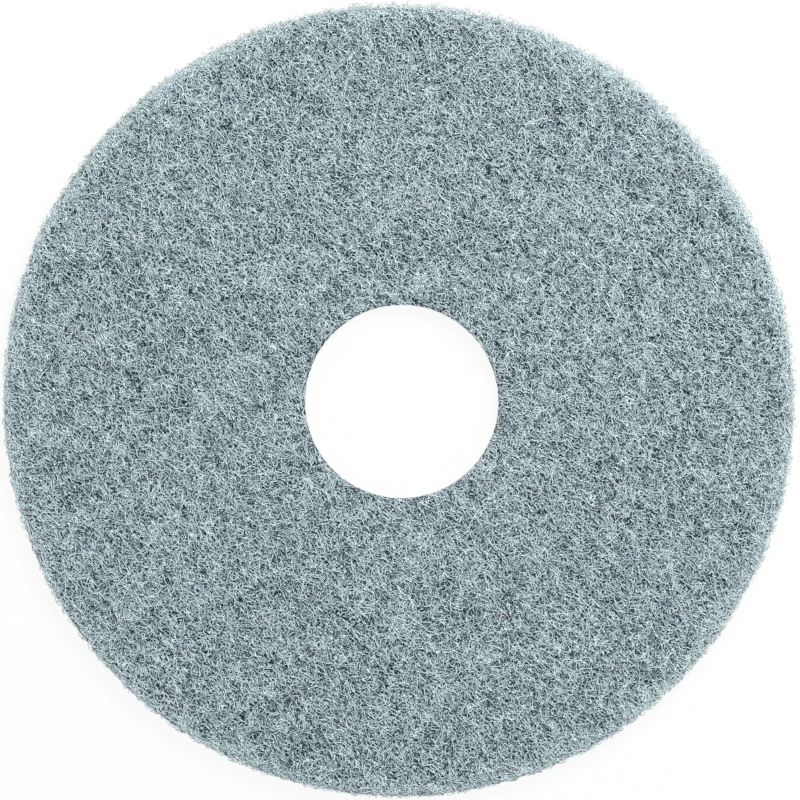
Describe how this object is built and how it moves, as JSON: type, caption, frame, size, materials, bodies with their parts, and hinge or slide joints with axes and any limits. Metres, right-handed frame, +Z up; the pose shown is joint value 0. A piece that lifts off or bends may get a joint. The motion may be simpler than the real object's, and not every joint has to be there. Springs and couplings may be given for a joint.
{
  "type": "floor pad",
  "caption": "Round floor polishing pad of lofty non-woven fibre, cut in one piece with a centre hole and fuzzy rounded edges.",
  "frame": {"origin": "centre of the outer edge, on the face that lies on the floor", "axes": "+Z up through the pad's thickness, from the floor face to the face that the machine grips; +X points the way that the hole is off centre"},
  "size_m": [0.3546, 0.3552, 0.022],
  "materials": {
    "fibre_web": "matt, open web of crimped fibres bound with resin"
  },
  "bodies": {
    "root": {"floor_pad": "fibre_web"}
  },
  "joints": []
}
